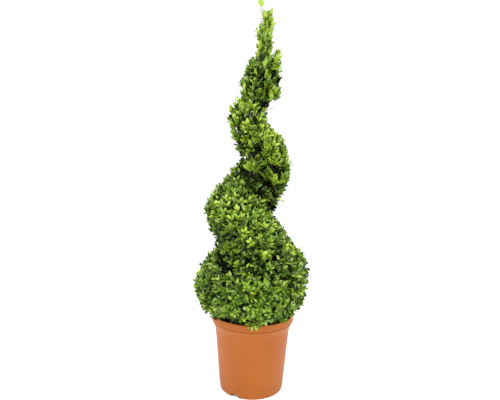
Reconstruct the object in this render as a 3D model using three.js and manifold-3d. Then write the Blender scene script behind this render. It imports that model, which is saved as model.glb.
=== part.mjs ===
// Spiral topiary: a small-leaved evergreen shrub, clipped as a ball that rises into a
// three-turn spiral round one trunk, standing in a round plastic nursery pot.
// Millimetres, +Z up. The origin is the centre of the pot's flat underside; -Y is the front.

import * as THREE from "three";
import { mergeVertices } from "three/addons/utils/BufferGeometryUtils.js";
import Module from "manifold-3d";

const wasm = await Module();
wasm.setup();
const { Manifold, Mesh: SolidMesh } = wasm;

// ---- driving dimensions ----

const GAP = 0.3; // clearance between solids that meet
const LEAST_EDGE = 0.06; // smaller slivers where solids fuse are smoothed away
const TURN = 2 * Math.PI;

const pot = {
  height: 264,
  rimRadius: 140,
  rimBand: 22, // height of the upright band under the rim
  grooveHeight: 2.5, // groove under the band
  grooveRadius: 137.6,
  shoulderRadius: 138.6, // under the groove
  shoulderHeight: 48, // from the foot of the shoulder to the rim
  bodyRadius: 126.5, // at the foot of the shoulder
  innerRadius: 133.8, // inside, behind the groove
  footRadius: 107, // where the wall reaches the ground
  footRounding: 4,
  wall: 3,
  floor: 3,
  channelInner: 80, // drainage channel under the floor
  channelHeight: 13,
  channelDraft: 3,
  notchWidth: 33,
  notchHeight: 11.5,
  notchStart: 88, // where the notches begin, from the centre
  notchLength: 30,
  notchCount: 3,
  firstNotch: -121, // degrees from +X, at the front left
  segments: 36,
};

const SOIL_TOP = 246;

const trunk = {
  footRadius: 23,
  collarRadius: 13.5, // above the root flare
  tipRadius: 2.2,
  taperPower: 0.85,
  flareRings: [0, 5, 12, 22, 34], // heights above the soil
  flareHeight: 34,
  flarePower: 2.2,
  buttress: 0.16, // swelling of the three roots at the flare, as a share of the radius
  buttressTurn: 0.6,
  top: 1166,
  rings: 11,
  sides: 9,
  lean: 20, // sideways offset at the top
  bow: 20, // sideways bow at mid height, away from the lean
  sway: 2.5, // small wander about the bow
  swayWaves: [9, 7],
};

// The spiral groove, half turn by half turn. It begins at the right of the ball and climbs
// by the front, the left and the back: [height, depth].
const grooveStart = -1;
const grooves = [
  [390, 14],
  [480, 40],
  [601, 82],
  [793, 77],
  [924, 76],
  [1122, 33],
  [1240, 16],
];
const PITCH = 315; // rise of one full turn
const BAND_ROUNDNESS = 1.6;

// How far the clipped surface reaches from the axis before the groove is cut: [height, reach].
const reaches = [
  [247, 139],
  [290, 166],
  [350, 188],
  [430, 185],
  [520, 146],
  [620, 153],
  [770, 121],
  [905, 97],
  [1008, 70],
  [1090, 62],
  [1170, 46],
  [1232, 20],
];

// Where the clipping is fuller (+) or leaner (-) than the regular form:
// [winding, height, amount, half its span in half turns, half its height].
const swells = [
  [-3, 278, -9, 0.5, 22],
  [-2, 275, 9, 0.6, 22],
  [-1, 278, -9, 0.5, 22],
  [-2, 390, 8, 0.6, 90],
  [-1, 460, 6, 0.5, 50],
  [-1, 555, 14, 0.45, 45],
  [0, 545, 12, 0.4, 26],
  [0, 722, -17, 0.4, 48],
  [1, 850, 9, 0.4, 38],
  [2, 800, 12, 0.35, 18],
  [2, 985, -20, 0.4, 28],
  [3, 990, 34, 0.4, 38],
  [3.3, 1128, -9, 0.4, 26],
];

const CROWN_FOOT = 247;
const CORE_FOOT = 262;
const TIP_FOOT = 1172; // the tuft above this height is a mass of its own
const SLIT = 3; // half the space left between the cores of two masses
const ANGLE_SLIT = 0.008; // the same between neighbours in one turn, in half turns
const THINNEST = 6; // least depth of a mass from its inner side to the clipped surface
const LEAF_PROUD = 5; // how far a leaf may pass the clipped surface

const leafShape = { width: 0.56, thickness: 0.05, widest: 0.48 }; // shares of the length
const sprig = {
  rootRadius: 2.4,
  nodeRadius: 2,
  endRadius: 1.6,
  nodeLength: 5, // stretch of the twig that the side leaves grow from
  endDepth: 0.5, // depth of the twig's end under the clipped surface, in leaf lengths
  liftLow: 0.42, // rise of the side leaves along the twig, in radians
  liftHigh: 0.78,
  tipShare: 0.62, // size of the leaf at the tip
  rootDepth: 9, // how far the root lies inside the core
  rootDrop: 4, // and how far below the sprig's own height
};
const spacing = { candidates: 24, edgeShare: 0.06, edge: 8 }; // how sprigs are dealt over a mass
const core = { columnSpan: 0.11, steps: 6, thinnest: 5 }; // a column's span in half turns

// A bough leaves the trunk below the mass it carries and curves out and up into it. Lengths
// are shares of the mass's inner radius, apart from those marked mm.
const bough = {
  rootShare: 0.5, // of the trunk's radius
  tipShare: 0.62, // of its own root
  collar: 0.35, // swelling where it leaves the trunk
  sides: 6,
  rings: 4,
  drop: 0.75,
  bend: 0.45,
  endShort: 7, // mm short of the core
  endDrop: 4, // mm
};
const innerStem = { length: 30, taper: 0.8 };
const slimStem = { radius: 3, endRadius: 2.6, drop: 8, entry: 8 };

// Foliage masses, each a stretch of the winding counted in half turns. The ball lies below the
// groove's first turn, and the turns lie above it. The seed sets out the sprigs of a mass.
const masses = [
  { name: "mass_ball_front_right", from: -3, to: -2.5, sprays: 13, seed: 201 },
  { name: "mass_ball_front_left", from: -2.5, to: -2, sprays: 13, seed: 202 },
  { name: "mass_ball_back_left", from: -2, to: -1.5, sprays: 14, seed: 203 },
  { name: "mass_ball_back_right", from: -1.5, to: -1, sprays: 14, seed: 204 },
  { name: "mass_turn1_front_right", from: -1, to: -0.5, sprays: 10, seed: 205 },
  { name: "mass_turn1_front_left", from: -0.5, to: 0, sprays: 11, seed: 206 },
  { name: "mass_turn1_back_left", from: 0, to: 0.5, sprays: 11, seed: 307 },
  { name: "mass_turn1_back_right", from: 0.5, to: 1, sprays: 10, seed: 208 },
  { name: "mass_turn2_front", from: 1, to: 1.7, sprays: 10, seed: 209 },
  { name: "mass_turn2_left", from: 1.7, to: 2.35, sprays: 10, seed: 210 },
  { name: "mass_turn2_back", from: 2.35, to: 3, sprays: 10, seed: 311 },
  { name: "mass_turn3_front", from: 3, to: 3.7, sprays: 10, seed: 212 },
  { name: "mass_turn3_left", from: 3.7, to: 4.3, sprays: 7, seed: 213 },
];

// Sizes that change along the winding, given at the start of the ball and of each turn.
const windingSizes = {
  innerRadius: [
    [-3, 56],
    [-1, 44],
    [1, 30],
    [3, 15],
    [5, 11],
  ],
  skin: [
    [-3, 23],
    [-1, 22],
    [1, 19],
    [3, 14],
    [5, 11],
  ],
  leafLength: [
    [-3, 42],
    [-1, 40],
    [1, 35],
    [3, 28],
    [5, 24],
  ],
};

const colours = {
  pot: { color: 0xc9713c, roughness: 0.45, metalness: 0 },
  soil: { color: 0x2b2118, roughness: 1, metalness: 0 },
  bark: { color: 0x6f5b42, roughness: 0.9, metalness: 0 },
  foliage: { color: 0x6f9a2c, roughness: 0.55, metalness: 0 },
};

// ---- numbers ----

// A repeatable sequence of numbers from 0 to 1.
function sequence(seed) {
  let state = seed;
  return () => {
    state = (state + 0x6d2b79f5) | 0;
    let t = Math.imul(state ^ (state >>> 15), 1 | state);
    t = (t + Math.imul(t ^ (t >>> 7), 61 | t)) ^ t;
    return ((t ^ (t >>> 14)) >>> 0) / 4294967296;
  };
}

// Smooth value at x from a table of [x, value], flat beyond its ends.
function interpolate(table, x) {
  const last = table.length - 1;
  if (x <= table[0][0]) return table[0][1];
  if (x >= table[last][0]) return table[last][1];
  let i = 0;
  while (x > table[i + 1][0]) i += 1;
  const slope = (k) => {
    const a = table[Math.max(k - 1, 0)];
    const b = table[Math.min(k + 1, last)];
    return (b[1] - a[1]) / (b[0] - a[0]);
  };
  const [x0, y0] = table[i];
  const [x1, y1] = table[i + 1];
  const h = x1 - x0;
  const t = (x - x0) / h;
  const m0 = slope(i) * h;
  const m1 = slope(i + 1) * h;
  const a = 2 * y0 - 2 * y1 + m0 + m1;
  const b = 3 * y1 - 3 * y0 - 2 * m0 - m1;
  return ((a * t + b) * t + m0) * t + y0;
}

// ---- the clipped form ----

const grooveHeights = grooves.map(([height], i) => [grooveStart + i, height]);
const grooveDepths = grooves.map(([, depth], i) => [grooveStart + i, depth]);
const grooveEnd = grooveStart + grooves.length - 1;

const angleAt = (w) => Math.PI - Math.PI * w;

// Sideways place of the trunk and of the crown's axis.
function axisX(z) {
  const t = (z - CROWN_FOOT) / 1000;
  return trunk.lean * t - trunk.bow * Math.sin(Math.PI * t);
}

function grooveHeight(w) {
  if (w < grooveStart) return grooveHeight(w + 2) - PITCH;
  if (w > grooveEnd) return grooveHeight(w - 2) + PITCH;
  return interpolate(grooveHeights, w);
}

function grooveDepth(w) {
  return w < grooveStart || w > grooveEnd ? 0 : interpolate(grooveDepths, w);
}

const lowerEdge = (w) => (w < grooveStart ? CROWN_FOOT : grooveHeight(w));
const upperEdge = (w) => Math.min(grooveHeight(w + 2), TIP_FOOT);

function swell(w, z) {
  return swells.reduce((sum, [middle, height, amount, span, rise]) => {
    return sum + amount * Math.exp(-(((w - middle) / span) ** 2) - ((z - height) / rise) ** 2);
  }, 0);
}

// Reach of the clipped surface at winding w and height z, with the grooves below and above it.
function reach(w, z) {
  const cut = (depth, distance) => {
    const share = THREE.MathUtils.clamp(distance / PITCH, 0, 0.5);
    return depth * (1 - Math.sin(Math.PI * share) ** BAND_ROUNDNESS);
  };
  const lowerCut = cut(grooveDepth(w), z - grooveHeight(w));
  const upperCut = cut(grooveDepth(w + 2), grooveHeight(w + 2) - z);
  const inner = interpolate(windingSizes.innerRadius, w);
  const full = interpolate(reaches, z) + swell(w, z);
  return Math.max(full - lowerCut - upperCut, inner + THINNEST);
}

function onAxis(radius, angle, z) {
  const x = axisX(z) + radius * Math.cos(angle);
  return new THREE.Vector3(x, radius * Math.sin(angle), z);
}

const onSurface = (w, z) => onAxis(reach(w, z), angleAt(w), z);

// Outward direction of the clipped surface.
function outward(w, z) {
  const [step, rise] = [0.02, 5];
  const along = onSurface(w + step, z).sub(onSurface(w - step, z));
  const up = onSurface(w, z + rise).sub(onSurface(w, z - rise));
  const normal = new THREE.Vector3().crossVectors(up, along).normalize();
  const radial = onAxis(1, angleAt(w), z).sub(onAxis(0, 0, z));
  return normal.dot(radial) < 0 ? normal.negate() : normal;
}

// ---- solids ----

// A closed solid from vertices and triangles, with its faces turned outwards.
function solidOf(points, triangles) {
  let volume = 0;
  for (const [a, b, c] of triangles) {
    const normal = new THREE.Vector3().crossVectors(points[b], points[c]);
    volume += points[a].dot(normal);
  }
  const turned = volume < 0 ? triangles.map(([a, b, c]) => [a, c, b]) : triangles;
  const vertProperties = new Float32Array(points.flatMap((p) => [p.x, p.y, p.z]));
  const triVerts = new Uint32Array(turned.flat());
  return new Manifold(new SolidMesh({ numProp: 3, vertProperties, triVerts }));
}

function solidFrom(geometry) {
  const bare = geometry.clone();
  bare.deleteAttribute("normal");
  bare.deleteAttribute("uv");
  const merged = mergeVertices(bare, 1e-4);
  const place = merged.getAttribute("position");
  const points = [];
  for (let i = 0; i < place.count; i += 1) {
    points.push(new THREE.Vector3().fromBufferAttribute(place, i));
  }
  const triangles = [];
  for (let i = 0; i < merged.index.count; i += 3) {
    const corners = [0, 1, 2].map((k) => merged.index.getX(i + k));
    if (new Set(corners).size === 3) triangles.push(corners);
  }
  return solidOf(points, triangles);
}

// Rings of equally many points joined into a skin, with flat ends.
function loft(rings) {
  const count = rings[0].length;
  const triangles = [];
  for (let i = 0; i + 1 < rings.length; i += 1) {
    for (let j = 0; j < count; j += 1) {
      const k = (j + 1) % count;
      const [a, b] = [i * count + j, i * count + k];
      triangles.push([a, b, b + count], [a, b + count, a + count]);
    }
  }
  const end = (rings.length - 1) * count;
  for (let j = 1; j + 1 < count; j += 1) {
    triangles.push([0, j + 1, j], [end, end + j, end + j + 1]);
  }
  return solidOf(rings.flat(), triangles);
}

// Direction across a limb, turned about it from a steady sideways start.
function acrossLimb(direction, turn) {
  const side = new THREE.Vector3(0, 0, 1).cross(direction);
  if (side.lengthSq() < 1e-6) side.set(1, 0, 0);
  return side.normalize().applyAxisAngle(direction, turn);
}

function ringAround(centre, direction, radius, sides, turn = 0) {
  return Array.from({ length: sides }, (_, i) => {
    const out = acrossLimb(direction, turn + (TURN * i) / sides);
    return centre.clone().addScaledVector(out, radius);
  });
}

function taperedRod(from, to, fromRadius, toRadius, sides) {
  const direction = to.clone().sub(from).normalize();
  return loft([
    ringAround(from, direction, fromRadius, sides),
    ringAround(to, direction, toRadius, sides),
  ]);
}

function geometryOf(solid) {
  const mesh = solid.getMesh();
  const geometry = new THREE.BufferGeometry();
  geometry.setAttribute("position", new THREE.BufferAttribute(mesh.vertProperties, 3));
  geometry.setIndex(new THREE.BufferAttribute(mesh.triVerts, 1));
  geometry.computeVertexNormals();
  return geometry;
}

// The largest closed body of a fused solid: sealed hollows are filled and loose scraps dropped.
function mainBody(solid) {
  const bodies = solid.simplify(LEAST_EDGE).decompose();
  return bodies.reduce((a, b) => (b.volume() > a.volume() ? b : a));
}

// ---- pot and soil ----

function wallRadius(z) {
  const t = z / (pot.height - pot.shoulderHeight);
  return THREE.MathUtils.lerp(pot.footRadius, pot.bodyRadius, t);
}

function potSolid() {
  const shoulder = pot.height - pot.shoulderHeight;
  const channelTop = pot.channelHeight;
  const channelOuter = wallRadius(channelTop) - pot.wall;
  const floorTop = channelTop + pot.floor;
  const rimInner = pot.rimRadius - pot.wall;
  const bandFoot = pot.height - pot.rimBand;
  const profile = [
    [0, 0],
    [pot.channelInner, 0],
    [pot.channelInner + pot.channelDraft, channelTop],
    [channelOuter, channelTop],
    [channelOuter - pot.channelDraft, 0],
    [pot.footRadius - pot.footRounding, 0],
    [wallRadius(pot.footRounding), pot.footRounding],
    [pot.bodyRadius, shoulder],
    [pot.shoulderRadius, bandFoot - pot.grooveHeight],
    [pot.grooveRadius, bandFoot - pot.grooveHeight / 2],
    [pot.rimRadius, bandFoot],
    [pot.rimRadius, pot.height],
    [rimInner, pot.height],
    [rimInner, bandFoot + 2 * pot.wall],
    [pot.innerRadius, bandFoot + pot.wall / 2],
    [pot.innerRadius, bandFoot - pot.grooveHeight],
    [pot.bodyRadius - pot.wall, shoulder - 2],
    [wallRadius(floorTop) - pot.wall, floorTop],
    [pot.channelInner + pot.channelDraft - pot.floor, floorTop],
    [pot.channelInner - pot.floor, pot.floor],
    [0, pot.floor],
  ];
  const points = profile.map(([r, z]) => new THREE.Vector2(r, z));
  const shell = solidFrom(new THREE.LatheGeometry(points, pot.segments).rotateX(Math.PI / 2));
  return Manifold.difference([shell, ...notches()]);
}

// Arched drain notches through the skirt at the foot of the wall.
function notches() {
  const arch = new THREE.Shape();
  const underFoot = -5;
  arch.moveTo(-pot.notchWidth / 2, underFoot);
  arch.lineTo(pot.notchWidth / 2, underFoot);
  arch.absellipse(0, 0, pot.notchWidth / 2, pot.notchHeight, 0, Math.PI);
  const options = { depth: pot.notchLength, bevelEnabled: false, curveSegments: 5 };
  const cutter = new THREE.ExtrudeGeometry(arch, options).rotateX(Math.PI / 2);
  const outwards = cutter.rotateZ(Math.PI / 2).translate(pot.notchStart, 0, 0);
  return Array.from({ length: pot.notchCount }, (_, i) => {
    const angle = THREE.MathUtils.degToRad(pot.firstNotch) + (TURN * i) / pot.notchCount;
    return solidFrom(outwards.clone().rotateZ(angle));
  });
}

function soilSolid() {
  const shoulder = pot.height - pot.shoulderHeight;
  const floorTop = pot.channelHeight + pot.floor;
  const clear = pot.wall + 2 * GAP;
  const profile = [
    [0, pot.floor + GAP],
    [pot.channelInner - pot.floor - 2 * GAP, pot.floor + GAP],
    [pot.channelInner + pot.channelDraft - pot.floor - 2 * GAP, floorTop + GAP],
    [wallRadius(floorTop) - clear, floorTop + GAP],
    [pot.bodyRadius - clear, shoulder - 2],
    [pot.innerRadius - 1, SOIL_TOP - 3],
    [pot.innerRadius - pot.wall, SOIL_TOP],
    [0, SOIL_TOP],
  ];
  const points = profile.map(([r, z]) => new THREE.Vector2(r, z));
  return solidFrom(new THREE.LatheGeometry(points, pot.segments).rotateX(Math.PI / 2));
}

// ---- trunk and boughs ----

function trunkRadius(z) {
  const t = (z - SOIL_TOP) / (trunk.top - SOIL_TOP);
  const taper = t ** trunk.taperPower;
  const straight = THREE.MathUtils.lerp(trunk.collarRadius, trunk.tipRadius, taper);
  const flare = Math.max(0, 1 - (z - SOIL_TOP) / trunk.flareHeight) ** trunk.flarePower;
  return straight + (trunk.footRadius - trunk.collarRadius) * flare;
}

function trunkCentre(z) {
  const t = (z - SOIL_TOP) / (trunk.top - SOIL_TOP);
  const fade = trunk.sway * Math.sin(Math.PI * t);
  const [sideWave, depthWave] = trunk.swayWaves;
  const x = axisX(z) - axisX(SOIL_TOP) * (1 - t) + fade * Math.sin(sideWave * t);
  return new THREE.Vector3(x, fade * Math.cos(depthWave * t), z);
}

// The trunk, or the space that it keeps clear when grown by a margin.
function trunkSolid(margin = 0) {
  const flareRings = trunk.flareRings.map((h) => SOIL_TOP + GAP + h);
  const stretch = Array.from({ length: trunk.rings }, (_, i) => {
    const t = (i + 1) / trunk.rings;
    return THREE.MathUtils.lerp(SOIL_TOP + trunk.flareHeight, trunk.top, t);
  });
  const rings = [...flareRings, ...stretch].map((z) => {
    const centre = trunkCentre(z);
    const flare = (trunkRadius(z) - trunk.collarRadius) / (trunk.footRadius - trunk.collarRadius);
    return Array.from({ length: trunk.sides }, (_, i) => {
      const a = (TURN * i) / trunk.sides;
      const lobe = Math.cos(3 * a + trunk.buttressTurn);
      const buttress = 1 + trunk.buttress * Math.max(0, flare) * lobe;
      const radius = trunkRadius(z) * buttress + margin / Math.cos(Math.PI / trunk.sides);
      return new THREE.Vector3(centre.x + radius * Math.cos(a), centre.y + radius * Math.sin(a), z);
    });
  });
  return loft(rings);
}

const trunkBody = trunkSolid();
const trunkSpace = trunkSolid(GAP);

// Where a mass is held: the height at which its stem enters it, at its middle.
function hold(mass) {
  const w = (mass.from + mass.to) / 2;
  const foot = Math.max(lowerEdge(w), CORE_FOOT);
  const height = THREE.MathUtils.lerp(foot, upperEdge(w), 0.5);
  const inner = interpolate(windingSizes.innerRadius, w);
  const rootRadius = bough.rootShare * trunkRadius(height - inner);
  return { angle: angleAt(w), height, inner, rootRadius };
}

// Points of the limb that carries a mass, from inside the trunk to inside the core.
function limbPath({ angle, height, inner }) {
  const drop = bough.drop * inner;
  const root = trunkCentre(height - drop);
  const entry = onAxis(inner - bough.endShort, angle, height - bough.endDrop);
  const bend = onAxis(bough.bend * inner, angle, height - bough.bend * drop);
  return new THREE.QuadraticBezierCurve3(root, bend, entry);
}

function boughSolid(mass) {
  const held = hold(mass);
  const path = limbPath(held);
  const rings = [];
  for (let i = 0; i <= bough.rings; i += 1) {
    const t = i / bough.rings;
    const collar = 1 + bough.collar * (1 - t) ** 4;
    const radius = held.rootRadius * collar * THREE.MathUtils.lerp(1, bough.tipShare, t);
    rings.push(ringAround(path.getPoint(t), path.getTangent(t), radius, bough.sides));
  }
  return mainBody(Manifold.difference([loft(rings), trunkSpace]));
}

// The stem inside a mass: it starts clear of its bough's tip and runs on into the core.
function stemSolid(mass) {
  const held = hold(mass);
  const path = limbPath(held);
  const direction = path.getTangent(1);
  const start = path.getPoint(1).addScaledVector(direction, GAP);
  const end = start.clone().addScaledVector(direction, innerStem.length);
  const radius = held.rootRadius * bough.tipShare;
  return taperedRod(start, end, radius, innerStem.taper * radius, bough.sides);
}

// The slim upper turns hang on the trunk itself, by a stem cut to its bark.
function directStem(mass) {
  const held = hold(mass);
  const start = trunkCentre(held.height - slimStem.drop);
  const end = onAxis(held.inner + slimStem.entry, held.angle, held.height);
  const rod = taperedRod(start, end, slimStem.radius, slimStem.endRadius, bough.sides);
  return mainBody(Manifold.difference([rod, trunkSpace]));
}

// ---- foliage ----

// The core of a mass: the clipped form drawn in by the depth of the leafy skin. Each section
// is a ladder of outer points and, at the same heights, points on the straight inner side.
function coreSolid(mass) {
  const columns = Math.ceil((mass.to - mass.from) / core.columnSpan);
  const { steps } = core;
  const rings = [];
  for (let i = 0; i <= columns; i += 1) {
    const share = i / columns;
    const w = THREE.MathUtils.lerp(mass.from + ANGLE_SLIT, mass.to - ANGLE_SLIT, share);
    const foot = Math.max(lowerEdge(w) + SLIT, CORE_FOOT);
    const head = upperEdge(w) - SLIT;
    const inner = interpolate(windingSizes.innerRadius, w);
    const skin = interpolate(windingSizes.skin, w);
    const heights = Array.from({ length: steps + 1 }, (_, j) => foot + ((head - foot) * j) / steps);
    const depth = (z) => Math.max(reach(w, z) - skin, inner + core.thinnest);
    const outside = heights.map((z) => onAxis(depth(z), angleAt(w), z));
    const inside = heights.map((z) => onAxis(inner, angleAt(w), z));
    rings.push([...outside, ...inside.reverse()]);
  }
  const count = rings[0].length;
  const triangles = [];
  const quad = (a, b, c, d) => triangles.push([a, b, c], [a, c, d]);
  for (let i = 0; i < columns; i += 1) {
    for (let j = 0; j < count; j += 1) {
      const a = i * count + j;
      const b = i * count + ((j + 1) % count);
      quad(a, b, b + count, a + count);
    }
  }
  const end = columns * count;
  for (let j = 0; j < steps; j += 1) {
    const mate = count - 1 - j;
    quad(j, mate, mate - 1, j + 1);
    quad(end + j, end + j + 1, end + mate - 1, end + mate);
  }
  return solidOf(rings.flat(), triangles);
}

// A sprig: a three-sided twig with a leaf grown from each side near its end and one at its
// tip. All of it is one skin. A leaf widens from the face it grows from to its two sides and
// the ridges of its faces, then narrows to its tip. Leaves for which keep is false stay off.
function sprigSolid({ root, end, length, tipLength, turn, lifts, keep }) {
  const heading = end.clone().sub(root).normalize();
  const node = end.clone().addScaledVector(heading, -sprig.nodeLength);
  const points = [
    ...ringAround(root, heading, sprig.rootRadius, 3, turn),
    ...ringAround(node, heading, sprig.nodeRadius, 3, turn),
    ...ringAround(end, heading, sprig.endRadius, 3, turn),
  ];
  const triangles = [[0, 2, 1]];
  const halfWidth = (leafShape.width * length) / 2;
  const halfThickness = (leafShape.thickness * length) / 2;
  const middle = node.clone().add(end).multiplyScalar(0.5);
  for (let i = 0; i < 3; i += 1) {
    const k = (i + 1) % 3;
    triangles.push([i, k, 3 + k], [i, 3 + k, 3 + i]);
    const out = points[3 + i].clone().add(points[3 + k]).multiplyScalar(0.5).sub(node).normalize();
    const direction = out.multiplyScalar(Math.cos(lifts[i])).addScaledVector(heading, Math.sin(lifts[i]));
    const across = new THREE.Vector3().crossVectors(heading, direction).normalize();
    const above = new THREE.Vector3().crossVectors(direction, across);
    const widest = middle.clone().addScaledVector(direction, leafShape.widest * length);
    const leaf = [
      widest.clone().addScaledVector(above, -halfThickness),
      widest.clone().addScaledVector(across, halfWidth),
      widest.clone().addScaledVector(above, halfThickness),
      widest.clone().addScaledVector(across, -halfWidth),
      middle.clone().addScaledVector(direction, length),
    ];
    const face = [3 + i, 3 + k, 6 + k, 6 + i];
    if (!leaf.every(keep)) {
      triangles.push([face[0], face[1], face[2]], [face[0], face[2], face[3]]);
      continue;
    }
    const first = points.length;
    points.push(...leaf);
    for (let j = 0; j < 4; j += 1) {
      const n = (j + 1) % 4;
      triangles.push([face[j], face[n], first + j], [face[n], first + n, first + j]);
      triangles.push([first + j, first + n, first + 4]);
    }
  }
  const [across, above] = [Math.PI / 2, 0].map((more) => acrossLimb(heading, turn + more));
  const tipHalfWidth = (leafShape.width * tipLength) / 2;
  const widest = end.clone().addScaledVector(heading, leafShape.widest * tipLength);
  const leaf = [
    widest.clone().addScaledVector(above, leafShape.thickness * tipLength),
    widest.clone().addScaledVector(across, tipHalfWidth),
    widest.clone().addScaledVector(across, -tipHalfWidth),
    end.clone().addScaledVector(heading, tipLength),
  ];
  if (leaf.every(keep)) {
    const first = points.length;
    points.push(...leaf);
    for (let j = 0; j < 3; j += 1) {
      const n = (j + 1) % 3;
      triangles.push([6 + j, 6 + n, first + n], [6 + j, first + n, first + j]);
      triangles.push([first + j, first + n, first + 3]);
    }
  } else {
    triangles.push([6, 7, 8]);
  }
  return solidOf(points, triangles);
}

// True where a point lies in the space of a mass, clear of its neighbours, limbs and the rim.
function inSpace(mass, point, clear = 2) {
  const x = point.x - axisX(point.z);
  const radius = Math.hypot(x, point.y);
  const middle = (mass.from + mass.to) / 2;
  const angle = Math.atan2(point.y, x);
  let offset = (angleAt(middle) - angle) / Math.PI;
  offset -= 2 * Math.round(offset / 2);
  const margin = clear / (Math.PI * radius);
  if (Math.abs(offset) > (mass.to - mass.from) / 2 - margin) return false;
  const w = middle + offset;
  if (radius < interpolate(windingSizes.innerRadius, w)) return false;
  if (radius > reach(w, point.z) + LEAF_PROUD) return false;
  if (point.z < lowerEdge(w) + clear || point.z > upperEdge(w) - clear) return false;
  const overRim = radius > pot.rimRadius - pot.wall - 3 && point.z < pot.height + 2;
  return !overRim;
}

// Well spread places on the clipped surface of a mass: each new one is the candidate that
// lies furthest from those already chosen.
function spread(mass, random) {
  const places = [];
  while (places.length < mass.sprays) {
    let best = null;
    for (let i = 0; i < spacing.candidates; i += 1) {
      const share = THREE.MathUtils.lerp(spacing.edgeShare, 1 - spacing.edgeShare, random());
      const w = THREE.MathUtils.lerp(mass.from, mass.to, share);
      const foot = lowerEdge(w) + spacing.edge;
      const z = THREE.MathUtils.lerp(foot, upperEdge(w) - spacing.edge, random());
      const point = onSurface(w, z);
      const distances = places.map((place) => place.point.distanceTo(point));
      const room = Math.min(pot.height, ...distances);
      if (!best || room > best.room) best = { w, z, point, room };
    }
    places.push(best);
  }
  return places;
}

// One sprig of a mass: rooted in the core, it heads out and up, and its leaves end at the
// clipped surface.
function sprigOf(mass, place, random) {
  const { w, z, point } = place;
  const length = interpolate(windingSizes.leafLength, w);
  const skin = interpolate(windingSizes.skin, w);
  const inner = interpolate(windingSizes.innerRadius, w);
  const least = inner + core.thinnest / 2;
  const rootRadius = Math.max(reach(w, z) - skin - sprig.rootDepth, least);
  const root = onAxis(rootRadius, angleAt(w), z - sprig.rootDrop);
  const end = point.clone().addScaledVector(outward(w, z), -sprig.endDepth * length);
  const turn = TURN * random();
  const lifts = [0, 1, 2].map(() => THREE.MathUtils.lerp(sprig.liftLow, sprig.liftHigh, random()));
  const keep = (p) => inSpace(mass, p);
  const room = inSpace(mass, end, 2 * sprig.rootRadius);
  if (!room || end.distanceTo(root) < sprig.nodeLength + 2) return [];
  const sizes = { length, tipLength: sprig.tipShare * length };
  return [sprigSolid({ root, end, ...sizes, turn, lifts, keep })];
}

function massSolid(mass) {
  const random = sequence(mass.seed);
  const stem = mass.from >= 3 ? directStem(mass) : stemSolid(mass);
  const sprays = spread(mass, random).flatMap((place) => sprigOf(mass, place, random));
  return mainBody(Manifold.union([coreSolid(mass), stem, ...sprays]));
}

// The tuft at the top: a slim core on a stem that carries on from the trunk's tip, short
// sprigs all round it, and two leaders that end in upright leaves.
const tip = {
  lean: 8, // sideways lean over its height, beyond that of the trunk
  coreHeights: [9, 26, 50, 72], // above the trunk's tip
  coreRadii: [17, 15, 9, 3],
  leaders: [
    { end: [4, 0, 1260.5], leaf: 29 },
    { end: [33, -6, 1229], leaf: 26 },
  ],
  leaderSideLeaf: 12,
  sprigs: 11,
  leafLength: 23,
  lifts: [0.6, 0.8, 0.7],
  turnEach: 2.4, // from one sprig to the next, in radians
  turnLoose: 0.5,
  spread: 20, // how far the lowest sprig reaches
  narrowing: 0.18, // loss of reach per height
  rise: 8,
  footClear: 4,
  coreSides: 7,
};

function tipSolid(seed) {
  const random = sequence(seed);
  const upright = new THREE.Vector3(0, 0, 1);
  const foot = trunkCentre(trunk.top).addScaledVector(upright, GAP);
  const centreAt = (height) => {
    const z = trunk.top + height;
    const lean = tip.lean * Math.sin((Math.PI / 2) * Math.min(height / tip.coreHeights[2], 1));
    return new THREE.Vector3(axisX(z) + lean, 0, z);
  };
  const coreRings = tip.coreHeights.map((h, i) => {
    return ringAround(centreAt(h), upright, tip.coreRadii[i], tip.coreSides);
  });
  const stemRings = [foot, centreAt(tip.coreHeights[1])].map((centre) => {
    return ringAround(centre, upright, trunk.tipRadius, bough.sides);
  });
  const solids = [loft(coreRings), loft(stemRings)];
  const { lifts } = tip;
  for (const leader of tip.leaders) {
    const root = centreAt(tip.coreHeights[2]);
    const end = new THREE.Vector3(...leader.end);
    const sizes = { length: tip.leaderSideLeaf, tipLength: leader.leaf };
    solids.push(sprigSolid({ root, end, ...sizes, turn: 0, lifts, keep: () => true }));
  }
  const [lowest, highest] = [tip.coreHeights[0] + tip.footClear, tip.coreHeights[3]];
  for (let i = 0; i < tip.sprigs; i += 1) {
    const angle = i * tip.turnEach + tip.turnLoose * random();
    const height = THREE.MathUtils.lerp(lowest, highest, (i + 0.5) / tip.sprigs);
    const out = new THREE.Vector3(Math.cos(angle), Math.sin(angle), 0);
    const root = centreAt(height);
    const end = root.clone().addScaledVector(out, tip.spread - tip.narrowing * height);
    end.addScaledVector(upright, tip.rise);
    const sizes = { length: tip.leafLength, tipLength: sprig.tipShare * tip.leafLength };
    const keep = (p) => p.z > TIP_FOOT + 2;
    const turn = TURN * random();
    solids.push(sprigSolid({ root, end, ...sizes, turn, lifts, keep }));
  }
  return mainBody(Manifold.union(solids));
}

// ---- the assembly ----

const group = new THREE.Group();

function add(name, solid, finish) {
  const mesh = new THREE.Mesh(geometryOf(solid), new THREE.MeshStandardMaterial(finish));
  mesh.name = name;
  group.add(mesh);
}

add("pot", potSolid(), colours.pot);
add("soil", soilSolid(), colours.soil);
add("trunk", trunkBody, colours.bark);
masses.forEach((mass) => {
  if (mass.from < 3) add(mass.name.replace("mass", "bough"), boughSolid(mass), colours.bark);
  add(mass.name, massSolid(mass), colours.foliage);
});
add("mass_tip", tipSolid(99), colours.foliage);

export default group;
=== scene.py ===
"""A ball-and-spiral topiary of small-leaved evergreen in a round plastic nursery pot.

Metres, +Z up, front towards -Y. The winding is counted in half turns, w, from the right of the
ball (w = -1) by the front, the left and the back."""

import math

import bpy
import numpy as np
from mathutils import Matrix, Vector, noise


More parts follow.
